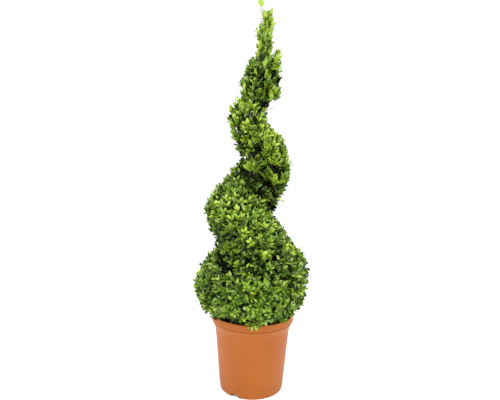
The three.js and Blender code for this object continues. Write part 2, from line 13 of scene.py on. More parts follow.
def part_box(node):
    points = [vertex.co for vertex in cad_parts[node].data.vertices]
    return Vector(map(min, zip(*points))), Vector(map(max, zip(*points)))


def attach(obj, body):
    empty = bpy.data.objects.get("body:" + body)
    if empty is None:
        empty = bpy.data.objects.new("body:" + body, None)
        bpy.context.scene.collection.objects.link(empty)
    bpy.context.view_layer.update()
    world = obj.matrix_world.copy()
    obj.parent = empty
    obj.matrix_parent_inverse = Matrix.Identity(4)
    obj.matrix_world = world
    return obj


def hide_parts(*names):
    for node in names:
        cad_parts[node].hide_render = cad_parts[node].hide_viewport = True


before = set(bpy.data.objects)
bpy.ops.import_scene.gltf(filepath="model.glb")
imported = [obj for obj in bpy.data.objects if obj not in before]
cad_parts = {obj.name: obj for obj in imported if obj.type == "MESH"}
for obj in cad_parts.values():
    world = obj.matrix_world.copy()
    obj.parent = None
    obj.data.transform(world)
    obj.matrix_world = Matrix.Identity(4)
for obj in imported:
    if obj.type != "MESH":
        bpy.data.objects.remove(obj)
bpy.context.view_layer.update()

TURN = 2 * math.pi
UP = np.array([0.0, 0.0, 1.0])
POT_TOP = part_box("pot")[1].z
SOIL_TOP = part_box("soil")[1].z
TRUNK_LOW, TRUNK_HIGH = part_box("trunk")
MASSES = sorted(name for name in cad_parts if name.startswith("mass_"))
BOUGHS = sorted(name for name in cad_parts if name.startswith("bough_"))

# The pot's outside radii at its rim, at the foot of its shoulder and on the ground.
RIM, BODY, FOOT = 0.140, 0.1265, 0.107
WALL = 0.003
# The upright band at the rim, the groove under it, and the shoulder from there to the body.
BAND = 0.022
GROOVE_HEIGHT, GROOVE_RADIUS = 0.0025, 0.1376
SHOULDER_RADIUS, SHOULDER_HEIGHT = 0.1386, 0.048
SHOULDER = POT_TOP - SHOULDER_HEIGHT
INNER_RADIUS = 0.1338  # inside, behind the groove
# The drainage channel under the floor, and the notches in the foot.
CHANNEL_INNER, CHANNEL_HEIGHT, CHANNEL_DRAFT = 0.080, 0.013, 0.003
NOTCH_WIDTH, NOTCH_HEIGHT, NOTCH_START, NOTCH_LENGTH = 0.033, 0.0115, 0.088, 0.030
FIRST_NOTCH, NOTCHES = math.radians(-121), 3


# ---- the clipped form ----


def smooth(table):
    """Smooth function through a table of (x, value), flat beyond its ends."""
    xs, ys = np.array(table, float).T
    order = np.arange(len(xs))
    before, after = np.maximum(order - 1, 0), np.minimum(order + 1, len(xs) - 1)
    slope = (ys[after] - ys[before]) / (xs[after] - xs[before])

    def value(x):
        x = np.clip(x, xs[0], xs[-1])
        i = np.clip(np.searchsorted(xs, x, side="right") - 1, 0, len(xs) - 2)
        h = xs[i + 1] - xs[i]
        t = (x - xs[i]) / h
        m0, m1 = slope[i] * h, slope[i + 1] * h
        a = 2 * ys[i] - 2 * ys[i + 1] + m0 + m1
        b = 3 * ys[i + 1] - 3 * ys[i] - 2 * m0 - m1
        return ((a * t + b) * t + m0) * t + ys[i]

    return value


GROOVE_START, GROOVE_END = -1, 5
PITCH = 0.315  # rise of one full turn
BAND_ROUNDNESS = 1.6
THINNEST = 0.006  # least depth of the growth from its inner side to the clipped surface
CROWN_FOOT = SOIL_TOP + 0.001
TIP_FOOT = TRUNK_HIGH.z + 0.006
LEAN, BOW = 0.020, 0.020  # sideways offset of the axis at the top, and its bow at mid height
AXIS_HEIGHT = 1.0

# By half turns: the groove's height and its depth.
groove_table = smooth(
    [(-1, 0.390), (0, 0.480), (1, 0.601), (2, 0.793), (3, 0.924), (4, 1.122), (5, 1.240)]
)
depth_table = smooth(
    [(-1, 0.014), (0, 0.040), (1, 0.082), (2, 0.077), (3, 0.076), (4, 0.033), (5, 0.016)]
)
# By height: how far the form stands from its axis.
reach_table = smooth(
    [(0.247, 0.139), (0.290, 0.166), (0.350, 0.188), (0.430, 0.185), (0.520, 0.146)]
    + [(0.620, 0.153), (0.770, 0.121), (0.905, 0.097), (1.008, 0.070), (1.090, 0.062)]
    + [(1.170, 0.046), (1.232, 0.020)]
)
# By half turns: how far from the axis the growth begins.
inner_table = smooth([(-3, 0.056), (-1, 0.044), (1, 0.030), (3, 0.015), (5, 0.011)])

# Where the clipping is fuller (+) or leaner (-): (w, height, amount, half spans in w and height).
SWELLS = [
    (-3, 0.278, -0.009, 0.50, 0.022),
    (-2, 0.275, 0.009, 0.60, 0.022),
    (-1, 0.278, -0.009, 0.50, 0.022),
    (-2, 0.390, 0.008, 0.60, 0.090),
    (-1, 0.460, 0.006, 0.50, 0.050),
    (-1, 0.555, 0.014, 0.45, 0.045),
    (0, 0.545, 0.012, 0.40, 0.026),
    (0, 0.722, -0.017, 0.40, 0.048),
    (1, 0.850, 0.009, 0.40, 0.038),
    (2, 0.800, 0.012, 0.35, 0.018),
    (2, 0.985, -0.020, 0.40, 0.028),
    (3, 0.990, 0.034, 0.40, 0.038),
    (3.3, 1.128, -0.009, 0.40, 0.026),
]


def angle_at(w):
    return math.pi - math.pi * np.asarray(w, float)


def axis_x(z):
    t = (np.asarray(z, float) - CROWN_FOOT) / AXIS_HEIGHT
    return LEAN * t - BOW * np.sin(math.pi * t)


def groove_height(w):
    w = np.asarray(w, float)
    shift = np.where(w < GROOVE_START, 1, np.where(w > GROOVE_END, -1, 0))
    return groove_table(w + 2 * shift) - shift * PITCH


def groove_depth(w):
    inside = (w >= GROOVE_START) & (w <= GROOVE_END)
    return np.where(inside, depth_table(w), 0.0)


def lower_edge(w):
    return np.where(np.asarray(w) < GROOVE_START, CROWN_FOOT, groove_height(w))


def upper_edge(w):
    return np.minimum(groove_height(np.asarray(w) + 2), TIP_FOOT)


def swell(w, z):
    total = 0.0
    for middle, height, amount, span, rise in SWELLS:
        total = total + amount * np.exp(-(((w - middle) / span) ** 2) - ((z - height) / rise) ** 2)
    return total


def reach(w, z):
    """How far the clipped surface stands from the axis, with the grooves below and above."""
    w, z = np.asarray(w, float), np.asarray(z, float)

    def cut(depth, distance):
        share = np.clip(distance / PITCH, 0, 0.5)
        return depth * (1 - np.sin(math.pi * share) ** BAND_ROUNDNESS)

    lower = cut(groove_depth(w), z - groove_height(w))
    upper = cut(groove_depth(w + 2), groove_height(w + 2) - z)
    return np.maximum(reach_table(z) + swell(w, z) - lower - upper, inner_table(w) + THINNEST)


def on_axis(radius, angle, z):
    radius, angle, z = np.broadcast_arrays(radius, angle, z)
    return np.stack([axis_x(z) + radius * np.cos(angle), radius * np.sin(angle), z], -1)


def on_surface(w, z):
    return on_axis(reach(w, z), angle_at(w), z)


def unit(v):
    return v / np.maximum(np.linalg.norm(v, axis=-1, keepdims=True), 1e-9)


def bent(a, bend, b, t):
    """Points at the shares t of a curve from a to b that is drawn towards the bend."""
    return a * (1 - t) ** 2 + 2 * bend * t * (1 - t) + b * t**2


def around(angle):
    """Level directions at angles round the axis."""
    return np.stack([np.cos(angle), np.sin(angle), np.zeros(len(angle))], -1)


def patch(w, z, step_w, step_z):
    """Normals as long as the area is large that the steps to both sides span on the surface."""
    along = on_surface(w + step_w, z) - on_surface(w - step_w, z)
    up = on_surface(w, z + step_z) - on_surface(w, z - step_z)
    return np.cross(up, along)


def outward(w, z):
    """The surface's normals, away from the axis."""
    normal = unit(patch(w, z, 0.02, 0.005))
    radial = around(angle_at(w))
    return normal * np.where((normal * radial).sum(-1) < 0, -1, 1)[:, None]


# ---- trunk and limbs ----

# The trunk's radii above its root flare, at its top and at the soil.
COLLAR_RADIUS, TIP_RADIUS, FOOT_RADIUS = 0.0135, 0.0022, 0.023
TRUNK_TAPER = 0.85
FLARE_HEIGHT, FLARE_POWER = 0.034, 2.2
SWAY, SWAY_WAVES = 0.0025, (9, 7)


def trunk_radius(z):
    t = np.clip((z - SOIL_TOP) / (TRUNK_HIGH.z - SOIL_TOP), 0, 1)
    straight = COLLAR_RADIUS + (TIP_RADIUS - COLLAR_RADIUS) * t**TRUNK_TAPER
    flare = np.maximum(0, 1 - (z - SOIL_TOP) / FLARE_HEIGHT) ** FLARE_POWER
    return straight + (FOOT_RADIUS - COLLAR_RADIUS) * flare


def trunk_centre(z):
    z = np.asarray(z, float)
    t = (z - SOIL_TOP) / (TRUNK_HIGH.z - SOIL_TOP)
    fade = SWAY * np.sin(math.pi * np.clip(t, 0, 1))
    x = axis_x(z) - axis_x(SOIL_TOP) * (1 - t) + fade * np.sin(SWAY_WAVES[0] * t)
    return np.stack([x, fade * np.cos(SWAY_WAVES[1] * t), z], -1)


# The winding is cut into masses at these half turns: four in the ball, four in the first turn,
# three in the second and two in the third.
CUTS = [-3, -2.5, -2, -1.5, -1, -0.5, 0, 0.5, 1, 1.7, 2.35, 3, 3.7, 4.3]
STRETCHES = list(zip(CUTS, CUTS[1:]))
TOP_W = CUTS[-1]
FIRST_STEM = 3  # from this half turn up a short stem takes the place of a bough
STEM_REACH = 0.008  # how far a stem climbs, and how far it enters its mass
BOUGH_CLIMB = 0.75  # rise of a bough for each metre that it reaches out
BOUGH_BEND = 0.45  # where a bough bends, as a share of its way
BOUGH_ENTRY, BOUGH_UNDER = 0.004, 0.003  # how far a bough enters its mass, and how far under
CORE_RISE = 0.015  # least height of a mass's foot over the crown's foot
LIMB_SHARE = 0.5  # radius of a limb, as a share of the trunk's there


def limb_path(start, end, points=9):
    """Points of the limb that carries a mass, and the radius at its root."""
    w = (start + end) / 2
    foot = max(float(lower_edge(w)), CROWN_FOOT + CORE_RISE)
    height = (foot + float(upper_edge(w))) / 2
    inner = float(inner_table(w))
    if start < FIRST_STEM:
        drop = BOUGH_CLIMB * inner
        root = trunk_centre(height - drop)
        bend = on_axis(BOUGH_BEND * inner, angle_at(w), height - BOUGH_BEND * drop)
        entry = on_axis(inner + BOUGH_ENTRY, angle_at(w), height - BOUGH_UNDER)
    else:
        root = trunk_centre(height - STEM_REACH)
        entry = on_axis(inner + STEM_REACH, angle_at(w), height)
        bend = (root + entry) / 2
    path = bent(root, bend, entry, np.linspace(0, 1, points)[:, None])
    return path, LIMB_SHARE * float(trunk_radius(height - inner))


# ---- meshes ----


def mesh_object(name, vertices, loops, sizes, finish, smooth_shaded=True):
    """A mesh piece from vertices, its faces' corners one after another and the faces' sizes."""
    mesh = bpy.data.meshes.new(name)
    mesh.vertices.add(len(vertices))
    mesh.vertices.foreach_set("co", np.asarray(vertices, np.float32).ravel())
    mesh.loops.add(len(loops))
    mesh.loops.foreach_set("vertex_index", np.asarray(loops, np.int32))
    mesh.polygons.add(len(sizes))
    starts = np.concatenate([[0], np.cumsum(sizes)[:-1]]).astype(np.int32)
    mesh.polygons.foreach_set("loop_start", starts)
    mesh.polygons.foreach_set("use_smooth", np.full(len(sizes), smooth_shaded))
    mesh.update(calc_edges=True)
    mesh.validate()
    mesh.materials.append(finish)
    piece = bpy.data.objects.new(name, mesh)
    bpy.context.collection.objects.link(piece)
    return piece


def across_pair(direction):
    """Two directions across each given direction."""
    reference = np.where(np.abs(direction[..., 2:3]) > 0.9, [1.0, 0, 0], [0, 0, 1.0])
    side = unit(np.cross(reference, direction))
    return side, np.cross(direction, side)


def tubes(paths, radii, sides):
    """Closed tubes round many paths of one length: paths (n, k, 3), radii (n, k)."""
    n, k, _ = paths.shape
    tangent = np.gradient(paths, axis=1)
    side, over = across_pair(unit(tangent))
    turn = TURN * np.arange(sides) / sides
    ring = side[:, :, None] * np.cos(turn)[:, None] + over[:, :, None] * np.sin(turn)[:, None]
    points = paths[:, :, None] + ring * radii[:, :, None, None]
    ends = paths[:, [0, -1]]
    each = k * sides + 2
    vertices = np.concatenate([points.reshape(n, -1, 3), ends], 1).reshape(-1, 3)
    quads, caps = [], []
    for i in range(k - 1):
        for j in range(sides):
            a, b = i * sides + j, i * sides + (j + 1) % sides
            quads.append([a, b, b + sides, a + sides])
    for j in range(sides):
        m = (j + 1) % sides
        caps.append([k * sides, m, j])
        last = (k - 1) * sides
        caps.append([k * sides + 1, last + j, last + m])
    offset = each * np.arange(n)[:, None]
    quad_loops = np.array(quads).reshape(1, -1) + offset
    cap_loops = np.array(caps).reshape(1, -1) + offset
    loops = np.concatenate([quad_loops, cap_loops], 1).ravel()
    sizes = np.tile([4] * len(quads) + [3] * len(caps), n)
    return vertices, loops, sizes


def joined(parts):
    """Several (vertices, loops, sizes) as one."""
    vertices, loops, sizes, first = [], [], [], 0
    for v, l, s in parts:
        vertices.append(v)
        loops.append(l + first)
        sizes.append(s)
        first += len(v)
    return np.concatenate(vertices), np.concatenate(loops), np.concatenate(sizes)


# ---- finishes ----


def linear(rgb):
    c = np.array(rgb, float) / 255
    return (*np.where(c <= 0.04045, c / 12.92, ((c + 0.055) / 1.055) ** 2.4), 1.0)


def shader_of(material):
    return material.node_tree.nodes["Principled BSDF"]


def finish_of(name, rgb, roughness, specular):
    material = bpy.data.materials.new(name)
    material.use_nodes = True
    shader = shader_of(material)
    shader.inputs["Base Color"].default_value = linear(rgb)
    shader.inputs["Roughness"].default_value = roughness
    shader.inputs["Specular IOR Level"].default_value = specular
    return material


def add_noise(material, scale, detail, stretch=(1, 1, 1)):
    nodes, links = material.node_tree.nodes, material.node_tree.links
    place = nodes.new("ShaderNodeTexCoord")
    mapping = nodes.new("ShaderNodeMapping")
    mapping.inputs["Scale"].default_value = stretch
    texture = nodes.new("ShaderNodeTexNoise")
    texture.inputs["Scale"].default_value = scale
    texture.inputs["Detail"].default_value = detail
    links.new(place.outputs["Object"], mapping.inputs["Vector"])
    links.new(mapping.outputs["Vector"], texture.inputs["Vector"])
    return texture.outputs["Fac"]


def add_bump(material, height, strength, distance):
    bump = material.node_tree.nodes.new("ShaderNodeBump")
    bump.inputs["Strength"].default_value = strength
    bump.inputs["Distance"].default_value = distance
    material.node_tree.links.new(height, bump.inputs["Height"])
    material.node_tree.links.new(bump.outputs["Normal"], shader_of(material).inputs["Normal"])


def add_colours(material, fac, low, high):
    """Base colour that runs from low to high over the middle of a noise."""
    ramp = material.node_tree.nodes.new("ShaderNodeValToRGB")
    for element, position, colour in zip(ramp.color_ramp.elements, (0.35, 0.65), (low, high)):
        element.position = position
        element.color = linear(colour)
    links = material.node_tree.links
    links.new(fac, ramp.inputs["Fac"])
    links.new(ramp.outputs["Color"], shader_of(material).inputs["Base Color"])


plastic = finish_of("terracotta_plastic", (134, 71, 16), 0.46, 0.18)
add_colours(plastic, add_noise(plastic, 9, 5), (132, 69, 15), (136, 73, 17))
add_bump(plastic, add_noise(plastic, 900, 2), 0.10, 0.0002)

# The groove under the band gets a darker finish: painted shade.
groove_painted_shade = finish_of("terracotta_groove_painted_shade", (88, 43, 12), 0.6, 0.12)
add_colours(groove_painted_shade, add_noise(groove_painted_shade, 40, 3), (82, 40, 12), (96, 48, 14))

earth = finish_of("potting_soil", (40, 30, 22), 0.95, 0.2)
add_colours(earth, add_noise(earth, 160, 6), (16, 11, 8), (52, 38, 26))
add_bump(earth, add_noise(earth, 420, 8), 0.9, 0.002)

bark = finish_of("bark", (108, 88, 62), 0.85, 0.25)
add_colours(bark, add_noise(bark, 60, 6, (1, 1, 0.2)), (72, 58, 42), (134, 112, 82))
add_bump(bark, add_noise(bark, 320, 6, (1, 1, 0.15)), 0.7, 0.0012)

twig_bark = finish_of("twig_bark", (96, 84, 50), 0.8, 0.3)
add_bump(twig_bark, add_noise(twig_bark, 700, 4), 0.4, 0.0004)

young_bark = finish_of("young_shoots", (112, 132, 52), 0.6, 0.4)
add_bump(young_bark, add_noise(young_bark, 700, 3), 0.3, 0.0003)

# Shades of leaf, the lightest growth first: (name, colour, roughness, specular level).
LIME, BRIGHT, MID, DEEP, INNER_PAINTED_SHADE, BRONZE = range(6)
SHADES = [
    ("lime", (138, 160, 46), 0.38, 0.40),
    ("bright", (114, 142, 34), 0.36, 0.40),
    ("mid", (86, 115, 28), 0.36, 0.34),
    ("deep", (52, 76, 19), 0.40, 0.22),
    # The inner shade is the darker older leaves inside the crown, painted far darker still as
    # painted shade for the crown's shadowed inside.
    ("inner", (17, 26, 8), 0.55, 0.12),
    ("bronze", (104, 88, 42), 0.50, 0.30),
]
SHADE_SIZE = np.array([1.12, 1.06, 1.00, 0.94, 0.90, 0.80])  # size of a leaf by its shade
LEAF_DRIFT = (0.22, 0.53, 0.25)  # chance that a leaf is one shade lighter, the same, one darker
WITHERED = 0.008  # share of the deep green leaves that have turned bronze


# ---- where the sprays stand ----

rng = np.random.default_rng(20)
RAGGED = 0.012  # spread of the height that a layer reaches


def thinned(points, spacing):
    """Indices of points kept so that no two lie closer than the spacing, first come first kept."""
    cell = spacing.max()
    taken, kept = {}, []
    keys = np.floor(points / cell).astype(int)
    near = [(i, j, k) for i in (-1, 0, 1) for j in (-1, 0, 1) for k in (-1, 0, 1)]
    for n, (p, key, room) in enumerate(zip(points, keys, spacing)):
        x, y, z = key
        clear = True
        for i, j, k in near:
            for q in taken.get((x + i, y + j, z + k), ()):
                if np.dot(p - q, p - q) < room * room:
                    clear = False
                    break
            if not clear:
                break
        if clear:
            taken.setdefault((x, y, z), []).append(p)
            kept.append(n)
    return np.array(kept)


def places(count, spacing, top):
    """Places well spread over the clipped surface, up to a height: winding and height.

    The growth gets looser towards the top."""
    w = rng.uniform(-3, TOP_W, count)
    share = rng.uniform(0.0, 1.0, count)
    low, high = lower_edge(w), upper_edge(w)
    z = low + (high - low) * share
    area = np.linalg.norm(patch(w, z, 0.01, 0.001), axis=-1) * (high - low)
    chosen = rng.uniform(0, 1, count) < area / np.quantile(area, 0.99)
    chosen &= z < top + rng.normal(0, RAGGED, count)
    w, z = w[chosen], z[chosen]
    kept = thinned(on_surface(w, z), spacing * np.interp(z, [0.60, 1.05], [1.0, 1.25]))
    return w[kept], z[kept]


def leaf_length(w):
    """Length of a leaf: longer in the upper turns."""
    return np.interp(w, [-3, -1, 0, 2, 5], [0.0190, 0.0192, 0.0205, 0.0230, 0.0250])


def erectness(w):
    """How upright the growth stands: rosettes on the ball, erect shoots in the upper turns."""
    return np.interp(w, [-1, 1, 3, 5], [0.0, 0.45, 0.8, 1.0])


SHADED_PART = 0.42  # part of a turn's height over which the shade of its foot fades by one
SHADE_AT_FOOT = 1.25
DEEP_GROOVE = 0.07  # a groove this deep gives full shade


def underside(w, z):
    """1 at the foot of a band over a deep groove, falling to 0 at half a turn's height."""
    height = (z - lower_edge(w)) / (SHADED_PART * PITCH)
    depth = np.clip(groove_depth(w) / DEEP_GROOVE, 0, 1) * np.interp(w, [1, 3], [1.0, 0.75])
    return np.clip(SHADE_AT_FOOT - height, 0, 1) * depth


def shaded_foot(z):
    """How far the foot of the ball lies in its own shade, just over the pot, where its leaves get
    painted shade.
    """
    return np.interp(z, [POT_TOP + 0.004, POT_TOP + 0.045], [0.65, 0.0])


# Hollows in the front, where the growth is thin and its leaves get painted shade: (across, height,
# half width, half height).
HOLLOWS = [
    (-0.086, 0.448, 0.036, 0.017),
    (-0.002, 0.815, 0.020, 0.026),
]

# Gaps right through the crown beside the trunk: (across, height, half width, half height).
GAPS = [
    (-0.014, 0.924, 0.019, 0.018),
    (-0.064, 0.875, 0.009, 0.012),
    (-0.026, 0.788, 0.018, 0.010),
    (0.052, 0.762, 0.012, 0.012),
]
GAP_CLEARED = 0.90  # share of the leaves that are missing in a gap


def from_middle(points, across, height, half_width, half_height):
    """Distance of points from the middle of an upright oval, seen from the front: 1 at its edge."""
    return np.hypot((points[:, 0] - across) / half_width, (points[:, 2] - height) / half_height)


def in_gap(points):
    """True for the leaves that are missing, in front and at the back alike."""
    inside = np.zeros(len(points), bool)
    for gap in GAPS:
        inside |= from_middle(points, *gap) < 1
    return inside & (rng.uniform(size=len(points)) < GAP_CLEARED)


def hollow(w, z):
    """How far a place lies in one of the hollows: over 1 in the middle, 0 outside."""
    place = on_surface(w, z)
    depth = np.zeros(len(w))
    front = place[:, 1] < 0
    for oval in HOLLOWS:
        inwards = np.interp(from_middle(place, *oval), [0.7, 1.1], [1.3, 0.0])
        depth = np.maximum(depth, inwards * front)
    return depth


RIM_WIDTH = 0.016  # the foliage keeps off this much of the pot's edge
RIM_CLEAR = 0.010  # mean height of the foliage's foot over the rim, which waves round the pot


def over_rim(points):
    """True for points that would lie on the pot's rim or hang outside it."""
    radius = np.hypot(points[:, 0], points[:, 1])
    turn = np.arctan2(points[:, 1], points[:, 0])
    least = POT_TOP + RIM_CLEAR + 0.005 * np.sin(3 * turn + 1.0) + 0.004 * np.sin(11 * turn)
    return (radius > RIM - RIM_WIDTH) & (points[:, 2] < least)


SHOOT_RISE, ERECT_RISE = 0.75, 0.65  # upward part of a shoot's heading, and more where erect
ERECT_TUCK = 0.45  # how much less an erect shoot leans out


def sprays_at(w, z, depth, shoot, outwardness, looseness):
    """Shoots that end at a depth under the surface: roots, ends and the surface's normals."""
    normal = outward(w, z)
    point = on_surface(w, z)
    n = len(w)
    wander = unit(rng.normal(size=(n, 3)))
    rise = SHOOT_RISE + ERECT_RISE * erectness(w)
    outwardness = outwardness * (1 - ERECT_TUCK * erectness(w))
    heading = unit(normal * outwardness[:, None] + np.outer(rise, UP) + looseness * wander)
    end = point - normal * depth[:, None]
    root = end - heading * shoot[:, None]
    return root, end, normal


TRUNK_CLEAR, SOIL_CLEAR = 0.006, 0.004  # least room of a spray's root


def clear_of_axis(points):
    """Points pushed out so that they stay clear of the trunk and the soil."""
    z = np.clip(points[:, 2], SOIL_TOP, TRUNK_HIGH.z)
    centre = trunk_centre(z)
    away = points[:, :2] - centre[:, :2]
    radius = np.linalg.norm(away, axis=1)
    least = trunk_radius(z) + TRUNK_CLEAR
    stretch = np.maximum(1.0, least / np.maximum(radius, 1e-6))
    points = points.copy()
    points[:, :2] = centre[:, :2] + away * stretch[:, None]
    points[:, 2] = np.maximum(points[:, 2], CROWN_FOOT + SOIL_CLEAR)
    return points


# ---- leaves ----

leaf_rows = [[] for _ in SHADES]  # the leaves of each shade


def add_leaves(shade, *columns):
    """Adds leaves: their shades, bases, directions, upper sides, lengths, widths and curls."""
    data = np.column_stack(columns)
    for s, rows in enumerate(leaf_rows):
        rows.append(data[shade == s])


# A leaf lies along x, its upper side towards z: stations of (place along, half width).
STATIONS = [(0.26, 0.40), (0.54, 0.50), (0.82, 0.33)]
FOLD = 0.22  # how far the two halves rise from the middle vein


def leaf_template():
    """Points and faces of a leaf of length 1 and width 1, with a middle vein."""
    points = [(0, 0, 0)]
    for x, half in STATIONS:
        points += [(x, 0, 0), (x, half, FOLD * half), (x, -half, FOLD * half)]
    points.append((1, 0, 0))
    tip = len(points) - 1
    faces = [(0, 1, 2), (0, 3, 1)]
    for i in range(len(STATIONS) - 1):
        a, b = 1 + 3 * i, 4 + 3 * i
        faces += [(a, b, b + 1), (a, b + 1, a + 1), (a, a + 2, b + 2), (a, b + 2, b)]
    a = tip - 3
    faces += [(a, tip, a + 1), (a, a + 2, tip)]
    return np.array(points, float), np.array(faces)


def leaf_meshes(rows):
    """All leaves of one shade as (vertices, loops, sizes)."""
    data = np.concatenate(rows)
    base, direction, above = data[:, 0:3], unit(data[:, 3:6]), data[:, 6:9]
    across = unit(np.cross(above, direction))
    above = np.cross(direction, across)
    length, width, curl = data[:, 9], data[:, 10], data[:, 11]
    template, faces = leaf_template()
    x, y, z = template.T
    along = x[None] * length[:, None]
    sideways = y[None] * width[:, None]
    raised = z[None] * width[:, None] - curl[:, None] * (x**2)[None] * length[:, None]
    vertices = (
        base[:, None]
        + along[..., None] * direction[:, None]
        + sideways[..., None] * across[:, None]
        + raised[..., None] * above[:, None]
    )
    n, each = len(data), len(template)
    loops = (faces.reshape(1, -1) + each * np.arange(n)[:, None]).ravel()
    return vertices.reshape(-1, 3), loops, np.full(n * len(faces), 3)


FIRST_PAIR = 0.6  # step from a shoot's root to its first pair of leaves
SHORT_OF = 0.2  # a shoot is this much shorter than one step for each pair
PAIR_TURN = math.pi / 2 + 0.25  # turn from one pair of leaves to the next
TURN_SPREAD = 0.25
LEAF_RISE, RISE_GAIN, RISE_SPREAD = 0.55, 0.45, 0.20  # angle at the shoot's foot, more at its end
ERECT_GAIN = 0.30
WAVER = 0.12
FACE_OUT, FACE_UP, FACE_SPREAD = 0.55, 0.25, 0.22  # where the upper side looks, beside the shoot
STALK = 0.0006
YOUNGER = 0.16  # how much smaller the two newest pairs are, and once more the last
OLDER = 0.40  # chance that a leaf of an older pair is one shade darker
SIZE_SPREAD, SIZE_RANGE = 0.13, (0.7, 1.3)
LEAF_WIDTH, WIDTH_SPREAD, WIDTH_RANGE = 0.46, 0.05, (0.36, 0.58)  # as a share of the length
CURL, CURL_SPREAD = 0.10, 0.07


def own_shades(shade, newest, young):
    """Shades of one leaf of each spray: often the spray's own, or one fresher or older."""
    n = len(shade)
    fresher = newest & (rng.uniform(size=n) < young) & (shade > BRIGHT) & (shade < INNER_PAINTED_SHADE)
    older = (not newest) & (rng.uniform(size=n) < OLDER) & (shade < INNER_PAINTED_SHADE)
    drifting = (shade > LIME) & (shade < INNER_PAINTED_SHADE)
    drift = rng.choice([-1, 0, 1], size=n, p=LEAF_DRIFT) * drifting
    own = (shade - fresher + older + drift).clip(LIME, INNER_PAINTED_SHADE)
    return np.where((own == DEEP) & (rng.uniform(size=n) < WITHERED), BRONZE, own)


def leaf_spray(root, end, normal, w, shade, pairs, size=1.0, young=0.25, drooping=False):
    """Opposite pairs of leaves up each shoot, each pair about a quarter turn from the last."""
    heading = unit(end - root)
    side, over = across_pair(heading)
    shoot = np.linalg.norm(end - root, axis=1)
    start = rng.uniform(0, TURN, len(w))
    n = len(w)
    for i in range(pairs):
        t = (i + FIRST_PAIR) / (pairs - SHORT_OF)
        newest = i >= pairs - 2
        growth = 1.0 - (YOUNGER if newest else 0.0) - (YOUNGER if i == pairs - 1 else 0.0)
        for half in (0, 1):
            turn = start + i * PAIR_TURN + half * math.pi + rng.normal(0, TURN_SPREAD, n)
            out = side * np.cos(turn)[:, None] + over * np.sin(turn)[:, None]
            rise = rng.normal(LEAF_RISE + RISE_GAIN * t, RISE_SPREAD, n)
            rise = rise + ERECT_GAIN * erectness(w)
            direction = out * np.cos(rise)[:, None] + heading * np.sin(rise)[:, None]
            direction = unit(direction + WAVER * rng.normal(size=(n, 3)))
            facing = heading + FACE_OUT * normal + FACE_UP * UP
            facing = facing + FACE_SPREAD * rng.normal(size=(n, 3))
            above = unit(facing - direction * (facing * direction).sum(1)[:, None])
            base = root + heading * (t * shoot)[:, None] + out * STALK
            own = own_shades(shade, newest, young)
            length = size * leaf_length(w) * growth
            length = length * rng.normal(1.0, SIZE_SPREAD, n).clip(*SIZE_RANGE)
            length = length * SHADE_SIZE[own]
            width = length * rng.normal(LEAF_WIDTH, WIDTH_SPREAD, n).clip(*WIDTH_RANGE)
            tip = base + direction * length[:, None]
            missing = over_rim(base) | over_rim(tip) | (base[:, 2] < CROWN_FOOT)
            missing |= in_gap(0.5 * (base + tip))
            kept = np.where(drooping | ~missing, own, -1)
            curl = rng.normal(CURL, CURL_SPREAD, n)
            add_leaves(kept, base, direction, above, length, width, curl)


def dealt(shares, n):
    """Shade of each spray, drawn by the given shares."""
    return rng.choice(len(shares), size=n, p=np.array(shares, float) / sum(shares))


# ---- the clipped growth ----

# The roots and ends of all sprays, and the half turn that each belongs to.
roots, shoots, owners = [], [], []
PAINTED_SHADE_CHANCE, SECOND_PAINTED_SHADE_CHANCE = 0.75, 0.60  # chances in full shade of one shade darker, and of a second, as painted shade


def picked(which, *columns):
    return [column[which] for column in columns]


def grow(w, z, depth, shoot, pairs, shade, outwardness=1.0, looseness=0.5, thinning=0.45):
    """Sprays that end at a depth under places of the surface, thinner in the shade, and with painted
    shade: darker leaves there.
    """
    under = np.maximum(underside(w, z), shaded_foot(z))
    chosen = rng.uniform(size=len(w)) > thinning * under
    under = np.maximum(under, hollow(w, z))
    w, z, depth, shoot, shade, under = picked(chosen, w, z, depth, shoot, shade, under)
    root, end, normal = sprays_at(w, z, depth, shoot, outwardness, looseness)
    root = clear_of_axis(root)
    w, root, end, normal, shade, under = picked(~over_rim(end), w, root, end, normal, shade, under)
    # Leaves under the bands, at the ball's foot and in the hollows are dealt darker shades: painted
    # shade.
    painted_darker = rng.uniform(size=len(w)) < PAINTED_SHADE_CHANCE * under
    painted_darker &= (shade > LIME) & (shade < INNER_PAINTED_SHADE)
    painted_darkest = painted_darker & (rng.uniform(size=len(w)) < SECOND_PAINTED_SHADE_CHANCE * under) & (shade < DEEP)
    shade = shade + painted_darker + painted_darkest
    leaf_spray(root, end, normal, w, shade, pairs)
    roots.append(root)
    shoots.append(end)
    owners.append(w)


# Shares of the six shades, in their order.
BALL = (0.0, 0.20, 0.57, 0.23, 0.0, 0.0)
TURNS = (0.09, 0.42, 0.36, 0.13, 0.0, 0.0)
TOP = (0.19, 0.50, 0.25, 0.06, 0.0, 0.0)
# The middle and inner layers are dealt the darkest shades: older leaves, and painted shade for the
# crown's inside.
MIDDLE = (0.0, 0.0, 0.12, 0.48, 0.40, 0.0)
INNER = (0.0, 0.0, 0.0, 0.12, 0.88, 0.0)
TURNS_FROM, TURNS_FADE = 0.40, 0.20  # over this height the shares of the turns take over
TOP_FROM, TOP_FADE = 0.80, 0.25  # and over this those of the top

# Tufts of young growth on the front: (across, height, radius, shade).
TUFTS = [
    (-0.026, 0.775, 0.020, LIME),
    (0.035, 0.741, 0.021, BRIGHT),
    (0.028, 0.860, 0.013, LIME),
    (0.086, 0.712, 0.014, LIME),
    (0.050, 1.005, 0.012, LIME),
]


